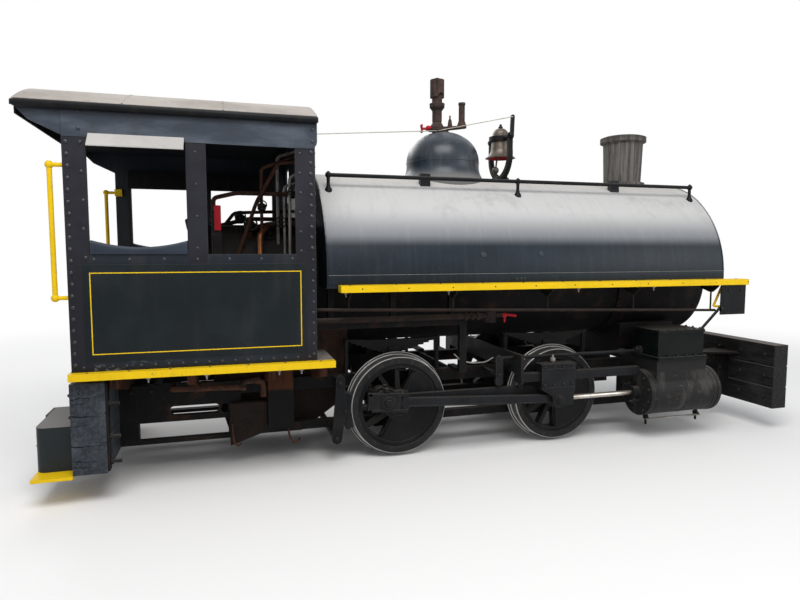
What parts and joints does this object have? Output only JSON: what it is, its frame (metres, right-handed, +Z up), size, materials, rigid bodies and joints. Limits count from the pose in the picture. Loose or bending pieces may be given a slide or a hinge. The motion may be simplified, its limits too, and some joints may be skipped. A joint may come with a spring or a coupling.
{
  "type": "narrow-gauge saddle-tank steam locomotive",
  "caption": "Small narrow-gauge steam locomotive with saddle tank, open-backed cab, coupled driving wheels, outside rods and cylinders, dome, bell and stack.",
  "frame": {"origin": "middle of the overall length and width, at the lowest point of the wheel flanges, 25 mm below the rail tops", "axes": "+X forward, +Y to the left, +Z up"},
  "size_m": [6.16, 2.08, 3.08],
  "materials": {
    "black_iron": "satin black paint",
    "cab_black": "satin black paint",
    "tank_black": "weathered satin black",
    "bright_steel": "worn bright",
    "cast": "oily grey-black",
    "yellow": "gloss yellow",
    "timber": "weathered black-grey timber",
    "roof": "dusty grey",
    "bronze": "tarnished bronze",
    "visor": "pale grey paint",
    "rust": "rusty",
    "stack": "streaked grey brown"
  },
  "bodies": {
    "engine": {"ash_pan": "rust", "axleboxes": "cast", "backhead_fittings": "cast", "bell_stand": "black_iron", "board_brackets": "black_iron", "board_end_plates": "black_iron", "boiler": "black_iron", "brake_gear": "cast", "bumper_steps": "yellow", "cab_deck": "timber", "cab_front": "cab_black", "cab_roof": "roof", "cab_side_left": "cab_black", "cab_side_right": "cab_black", "cylinders": "cast", "deck_bearers": "black_iron", "dome_turret": "rust", "firebox": "black_iron", "front_beam": "timber", "front_coupler": "cast", "grab_rails": "yellow", "guide_bars": "cast", "guide_yoke": "black_iron", "main_frames": "cast", "rear_beam": "timber", "rear_bumper": "black_iron", "rear_coupler": "cast", "reverse_lever": "cast", "running_boards": "yellow", "saddle_tank": "tank_black", "seat_boxes": "timber", "side_pipes": "rust", "smokebox": "black_iron", "smokebox_hinge": "black_iron", "smokebox_saddle": "black_iron", "springs": "cast", "stack": "stack", "steam_dome": "tank_black", "step_boards": "yellow", "tank_bearers": "black_iron", "tank_handrails": "tank_black", "valve_rods": "cast", "whistle": "rust", "window_visors": "visor"},
    "rear_wheelset": {"rear_axle": "cast", "rear_tyres": "bright_steel", "rear_wheel_centres": "cast"},
    "front_wheelset": {"front_axle": "cast", "front_tyres": "bright_steel", "front_wheel_centres": "cast"},
    "side_rod_right": {"side_rod_right": "cast"},
    "side_rod_left": {"side_rod_left": "cast"},
    "main_rod_right": {"main_rod_right": "cast"},
    "main_rod_left": {"main_rod_left": "cast"},
    "crosshead_right": {"crosshead_right": "cast"},
    "crosshead_left": {"crosshead_left": "cast"},
    "bell": {"bell": "bronze", "bell_yoke": "cast"},
    "smokebox_door": {"smokebox_door": "black_iron"},
    "fire_door": {"fire_door": "cast"}
  },
  "joints": [
    {"name": "rear_wheels_turn", "type": "hinge", "parent": "engine", "child": "rear_wheelset", "pos_m": [-0.517, 0, 0.406], "axis": [0, 1, 0], "continuous": true},
    {"name": "front_wheels_turn", "type": "hinge", "parent": "engine", "child": "front_wheelset", "pos_m": [0.854, 0, 0.406], "axis": [0, 1, 0], "continuous": true},
    {"name": "side_rod_right_swings", "type": "hinge", "parent": "rear_wheelset", "child": "side_rod_right", "pos_m": [-0.65183, -0.684, 0.47619], "axis": [0, 1, 0], "continuous": true},
    {"name": "side_rod_left_swings", "type": "hinge", "parent": "rear_wheelset", "child": "side_rod_left", "pos_m": [-0.58719, 0.684, 0.27117], "axis": [0, 1, 0], "continuous": true},
    {"name": "crosshead_right_slides", "type": "slide", "parent": "engine", "child": "crosshead_right", "axis": [1, 0, 0], "range_m": [-0.0154, 0.2886]},
    {"name": "main_rod_right_swings", "type": "hinge", "parent": "crosshead_right", "child": "main_rod_right", "pos_m": [0.76844, -0.765, 0.406], "axis": [0, 1, 0], "range_deg": [-8.97, 3.31]},
    {"name": "crosshead_left_slides", "type": "slide", "parent": "engine", "child": "crosshead_left", "axis": [1, 0, 0], "range_m": [-0.0754, 0.2286]},
    {"name": "main_rod_left_swings", "type": "hinge", "parent": "crosshead_left", "child": "main_rod_left", "pos_m": [0.82841, 0.765, 0.406], "axis": [0, 1, 0], "range_deg": [-0.7, 11.58]},
    {"name": "bell_swings", "type": "hinge", "parent": "engine", "child": "bell", "pos_m": [0.61, 0, 2.592], "axis": [0, 1, 0], "range_deg": [-35, 35]},
    {"name": "fire_door_opens", "type": "hinge", "parent": "engine", "child": "fire_door", "pos_m": [-1.953, 0.175, 1.08], "axis": [0, 0, 1], "range_deg": [-100, 0]},
    {"name": "smokebox_door_opens", "type": "hinge", "parent": "engine", "child": "smokebox_door", "pos_m": [2.464, 0.395, 1.325], "axis": [0, 0, 1], "range_deg": [0, 115]}
  ],
  "couplings": [
    {"joint": "front_wheels_turn", "follows": "rear_wheels_turn", "ratio": 1},
    {"joint": "side_rod_right_swings", "follows": "rear_wheels_turn", "ratio": -1},
    {"joint": "side_rod_left_swings", "follows": "rear_wheels_turn", "ratio": -1}
  ]
}
